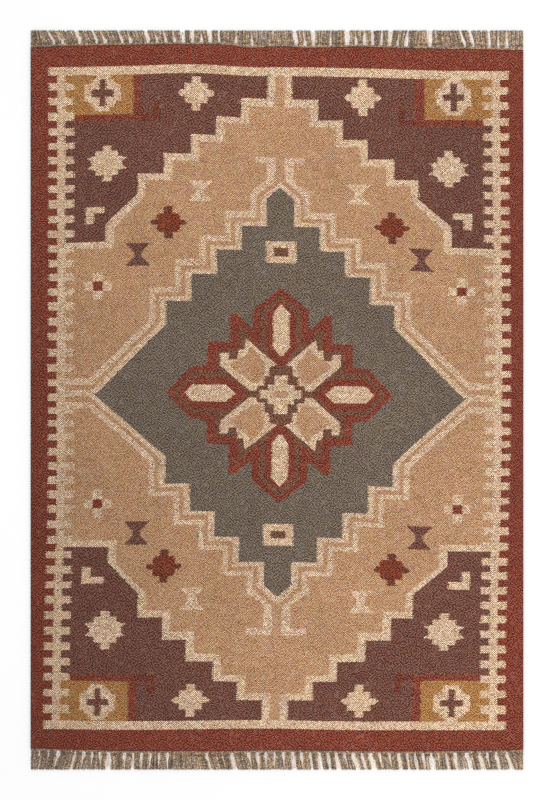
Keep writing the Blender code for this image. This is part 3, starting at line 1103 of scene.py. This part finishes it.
def yarn_material(name, seed):
    """Wool and jute weft: dashes of yarn on top and sunken in turn, over every warp and pick, with painted light on the
    top dashes and painted shade on the sunken ones.
    """
    colour, unlike, against, relief_shade, hard, pale = DYES[name]
    made, shader, g = fabric(f"yarn_{name}")
    uv = g.node("ShaderNodeUVMap", uv_map=UV_NAME).outputs[0]
    part = g.node("ShaderNodeSeparateXYZ", {"Vector": uv})
    x = g.math("MULTIPLY", part.outputs["X"], CELLS[0])
    y = g.math("MULTIPLY", part.outputs["Y"], CELLS[1])
    # warps and picks wander a little
    slow = g.vector(g.math("MULTIPLY", x, 0.035), g.math("MULTIPLY", y, 0.035), 0.0)
    wander = g.node("ShaderNodeTexNoise", {"Vector": slow, "Scale": 1.0, "Detail": 1.0})
    off = g.node("ShaderNodeSeparateColor", {"Color": wander.outputs["Color"]})
    x = g.math("ADD", x, g.math("MULTIPLY_ADD", off.outputs[0], 1.6, -0.8))
    y = g.math("ADD", y, g.math("MULTIPLY_ADD", off.outputs[1], 1.6, -0.8))
    column, row = g.math("FLOOR", x), g.math("FLOOR", y)
    middle = pale * 1.12 / 3 + (1 - pale) / 2

    def dash(across, up):
        """Each dash's own tone from -1 to 1, pushed towards a few pale ones, and its random numbers."""
        cell = g.vector(g.math("ADD", column, across), g.math("ADD", row, up), seed)
        speck = g.node("ShaderNodeTexWhiteNoise", {"Vector": cell}, noise_dimensions="3D")
        chance = speck.outputs["Value"]
        skewed = g.math("MULTIPLY_ADD", g.math("MULTIPLY", chance, chance), pale * 1.12, g.math("MULTIPLY", chance, 1 - pale))
        tone = g.math("MULTIPLY", g.math("SUBTRACT", skewed, middle), 2 * (1 + hard))
        return g.math("MINIMUM", g.math("MAXIMUM", tone, -1.0), 1.0), speck

    tone, speck = dash(0, 0)
    chance = speck.outputs["Value"]
    for across, up, share in ((1, 0, 0.22), (-1, 0, 0.22), (0, 1, 0.30), (0, -1, 0.30)):
        tone = g.math("MULTIPLY_ADD", dash(across, up)[0], -against * share, tone)
    # painted light and shade of the weave: the dashes on top are painted paler and the sunken ones darker; the same
    # rise and fall also makes the bump
    over = g.math("MULTIPLY", g.math("SINE", g.math("MULTIPLY", x, math.pi)), g.math("SINE", g.math("MULTIPLY", y, math.pi)))
    painted_weave_shade = g.math("MINIMUM", g.math("MAXIMUM", g.math("MULTIPLY", over, 4.0), -1.0), 1.0)
    second = g.node("ShaderNodeSeparateColor", {"Color": speck.outputs["Color"]})
    weave_shade_strength = g.math("MULTIPLY_ADD", second.outputs[1], relief_shade, relief_shade * 0.5)
    fibre = g.node(
        "ShaderNodeTexNoise",
        {"Vector": g.vector(g.math("MULTIPLY", x, 0.9), g.math("MULTIPLY", y, 4.0), seed), "Scale": 1.0, "Detail": 2.0},
    )
    streak = g.node(
        "ShaderNodeTexNoise",
        {"Vector": g.vector(g.math("MULTIPLY", x, 0.045), g.math("MULTIPLY", row, 2.37), seed), "Scale": 1.0, "Detail": 1.0},
    )
    fine = g.math("MULTIPLY_ADD", tone, unlike, g.math("MULTIPLY", painted_weave_shade, weave_shade_strength))
    fine = g.math("ADD", fine, g.math("MULTIPLY_ADD", fibre.outputs[0], 0.4, -0.2))
    fine = g.math("ADD", fine, g.math("MULTIPLY_ADD", streak.outputs[0], 0.4, -0.2))
    # pale dashes are paler in all three colours alike, so they are also greyer
    grey = [c**0.58 for c in colour]
    turn = [c * sum(colour) / sum(grey) for c in grey]
    dyed = g.node("ShaderNodeVectorMath", operation="MULTIPLY_ADD")
    g.feed(dyed.inputs[0], turn)
    g.feed(dyed.inputs[1], g.vector(fine, fine, fine))
    g.feed(dyed.inputs[2], colour)
    low = g.node("ShaderNodeVectorMath", operation="MAXIMUM")
    g.feed(low.inputs[0], dyed.outputs[0])
    g.feed(low.inputs[1], [c * 0.10 for c in colour])
    # painted light and abrash over the whole rug, and hue that drifts over a hand's breadth
    light_and_abrash, where = painted_light_with_abrash(g)
    hue = g.node("ShaderNodeTexNoise", {"Vector": where, "Scale": 34.0, "Detail": 3.0, "Roughness": 0.7})
    tint = g.node("ShaderNodeSeparateColor", {"Color": hue.outputs["Color"]})
    shade = g.vector(
        light_and_abrash,
        g.math("MULTIPLY", light_and_abrash, g.math("MULTIPLY_ADD", tint.outputs[0], 0.30, 0.85)),
        g.math("MULTIPLY", light_and_abrash, g.math("MULTIPLY_ADD", tint.outputs[1], 0.44, 0.78)),
    )
    final = g.node("ShaderNodeVectorMath", operation="MULTIPLY")
    g.feed(final.inputs[0], low.outputs[0])
    g.feed(final.inputs[1], shade)
    g.feed(shader.inputs["Base Color"], final.outputs[0])
    g.feed(shader.inputs["Roughness"], g.math("MULTIPLY_ADD", chance, 0.10, 0.86))
    height = g.math("MULTIPLY_ADD", fibre.outputs[0], 0.7, over)
    bump = g.node("ShaderNodeBump", {"Strength": 0.5, "Distance": 0.0006, "Height": height})
    g.feed(shader.inputs["Normal"], bump.outputs[0])
    return made


def loose_yarn(name, dark, pale, flecked):
    """Warp yarn, each strand its own tone, flecked dark and pale along its length."""
    made, shader, g = fabric(name)
    tone = g.node("ShaderNodeAttribute", attribute_name="tone", attribute_type="GEOMETRY").outputs["Fac"]
    # painted light over the whole fringe, with random abrash
    light_and_abrash, where = painted_light_with_abrash(g, corners=0.4)
    fleck = g.node("ShaderNodeTexNoise", {"Vector": where, "Scale": 430.0, "Detail": 3.0, "Roughness": 0.75})
    sharp = g.math("SMOOTH_MIN", g.math("MAXIMUM", g.math("MULTIPLY_ADD", fleck.outputs[0], 4.2, -1.6), 0.0), 1.3, 0.2)
    part = g.node("ShaderNodeSeparateXYZ", {"Vector": where})
    cell = g.vector(
        g.math("FLOOR", g.math("MULTIPLY", part.outputs["X"], 440.0)),
        g.math("FLOOR", g.math("MULTIPLY", part.outputs["Y"], 400.0)),
        0.0,
    )
    speck = g.node("ShaderNodeTexWhiteNoise", {"Vector": cell}, noise_dimensions="3D").outputs["Value"]
    light = g.math("MULTIPLY_ADD", tone, 1.00 * flecked, 0.92 - 0.50 * flecked)
    light = g.math("MULTIPLY", light, g.math("MULTIPLY_ADD", sharp, 1.30 * flecked, 1.0 - 0.62 * flecked))
    light = g.math("MULTIPLY", light, g.math("MULTIPLY_ADD", speck, 1.4 * flecked, 1.0 - 0.68 * flecked))
    # painted shade: the strands are painted darker near their cut ends, for the shadow along the fringe's tips
    cut = g.math("MULTIPLY_ADD", g.math("ABSOLUTE", part.outputs["Y"]), -200.0, 200.0 * (LENGTH / 2 - 0.0032) + 1.0)
    light = g.math("MULTIPLY", light, g.math("MINIMUM", g.math("MAXIMUM", cut, 0.55), 1.0))
    # painted light and abrash
    light = g.math("MULTIPLY", light, light_and_abrash)
    dyed = g.mix(dark, pale, fleck.outputs[0])
    # some bundles are rosier, some more olive
    hue = g.node("ShaderNodeTexNoise", {"Vector": where, "Scale": 70.0, "Detail": 2.0})
    tint = g.node("ShaderNodeSeparateColor", {"Color": hue.outputs["Color"]})
    rosy = g.vector(
        light,
        g.math("MULTIPLY", light, g.math("MULTIPLY_ADD", tint.outputs[0], 0.30, 0.85)),
        g.math("MULTIPLY", light, g.math("MULTIPLY_ADD", tint.outputs[1], 0.70, 0.65)),
    )
    final = g.node("ShaderNodeVectorMath", operation="MULTIPLY")
    g.feed(final.inputs[0], dyed)
    g.feed(final.inputs[1], rosy)
    g.feed(shader.inputs["Base Color"], final.outputs[0])
    g.feed(shader.inputs["Roughness"], g.math("MULTIPLY_ADD", fleck.outputs[0], 0.12, 0.84))
    bump = g.node("ShaderNodeBump", {"Strength": 0.5, "Distance": 0.0004, "Height": fleck.outputs[0]})
    g.feed(shader.inputs["Normal"], bump.outputs[0])
    return made


def floor_material():
    made = bpy.data.materials.new("pale_floor")
    made.use_nodes = True
    shader = made.node_tree.nodes["Principled BSDF"]
    shader.inputs["Specular IOR Level"].default_value = 0.0
    shader.inputs["Roughness"].default_value = 1.0
    g = Graph(made.node_tree)
    where = g.node("ShaderNodeTexCoord").outputs["Object"]
    cloudy = g.node("ShaderNodeTexNoise", {"Vector": where, "Scale": 3.0, "Detail": 2.0})
    near = g.mix((0.90, 0.90, 0.90, 1), (0.92, 0.92, 0.92, 1), cloudy.outputs[0])
    # paler far out, so that the floor's edge melts into the pale room
    away = g.node("ShaderNodeVectorMath", {0: where}, operation="LENGTH").outputs["Value"]
    far = g.math("MINIMUM", g.math("MAXIMUM", g.math("MULTIPLY_ADD", away, 0.25, -0.75), 0.0), 1.0)
    g.feed(shader.inputs["Base Color"], g.mix(near, (1.0, 1.0, 1.0, 1), far))
    return made


# ---------------------------------------------------------------- the pieces
cloth = weave()
for number, yarn in enumerate(YARNS):
    cloth.data.materials.append(yarn_material(yarn, 3.0 + number))
taupe = loose_yarn("yarn_taupe", (0.312, 0.222, 0.138, 1), (0.366, 0.257, 0.182, 1), 1.0)
end_cord = loose_yarn("yarn_end_cord", (0.330, 0.182, 0.106, 1), (0.400, 0.235, 0.145, 1), 1.0)
strays = loose_yarn("yarn_strays", (0.880, 0.735, 0.600, 1), (0.980, 0.850, 0.720, 1), 0.20)
fringes = {}
for end in ("head", "foot"):
    fringes[end] = fringe(end)
    fringes[end].data.materials.append(taupe)
    fringes[end].data.materials.append(end_cord)
    fringes[end].data.materials.append(strays)

floor_mesh = bpy.data.meshes.new("floor")
floor_rim = [(9 * math.cos(i * math.pi / 48), 9 * math.sin(i * math.pi / 48), 0) for i in range(96)]
floor_mesh.from_pydata(floor_rim, [], [tuple(range(96))])
floor = bpy.data.objects.new("floor", floor_mesh)
bpy.context.scene.collection.objects.link(floor)
floor.data.materials.append(floor_material())

for piece, node, finish in (
    (cloth, "cloth", "woven_wool"),
    (fringes["head"], "head_fringe", "taupe_yarn"),
    (fringes["foot"], "foot_fringe", "taupe_yarn"),
):
    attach(piece, "root")
    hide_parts(node)

# ---------------------------------------------------------------- light and camera
world = bpy.data.worlds.new("studio")
bpy.context.scene.world = world
world.use_nodes = True
world.node_tree.nodes["Background"].inputs["Color"].default_value = (1.0, 1.0, 1.0, 1)
world.node_tree.nodes["Background"].inputs["Strength"].default_value = 0.89


def soft_light(name, place, size, power, colour=(1, 1, 1)):
    data = bpy.data.lights.new(name, "AREA")
    data.shape = "DISK"
    data.size = size
    data.energy = power
    data.color = colour
    lamp = bpy.data.objects.new(name, data)
    lamp.location = place
    bpy.context.scene.collection.objects.link(lamp)
    aim = np.array((0, 0, 0)) - np.array(place)
    lamp.rotation_euler = (
        math.acos(-aim[2] / np.linalg.norm(aim)),
        0,
        math.atan2(aim[1], aim[0]) - math.pi / 2,
    )
    return lamp


soft_light("key", (0.9, 0.3, 4.4), 2.6, 52)

camera = bpy.data.cameras.new("camera")
camera.lens = 120
camera.sensor_width = 36
camera.clip_end = 60
viewer = bpy.data.objects.new("camera", camera)
viewer.location = (0, 0, 800 * SQUARE * camera.lens / camera.sensor_width)
bpy.context.scene.collection.objects.link(viewer)
bpy.context.scene.camera = viewer
bpy.context.scene.view_settings.view_transform = "Standard"
bpy.context.scene.view_settings.look = "None"
bpy.context.scene.cycles.use_denoising = False  # the weave is as fine as the grain that it would smooth away

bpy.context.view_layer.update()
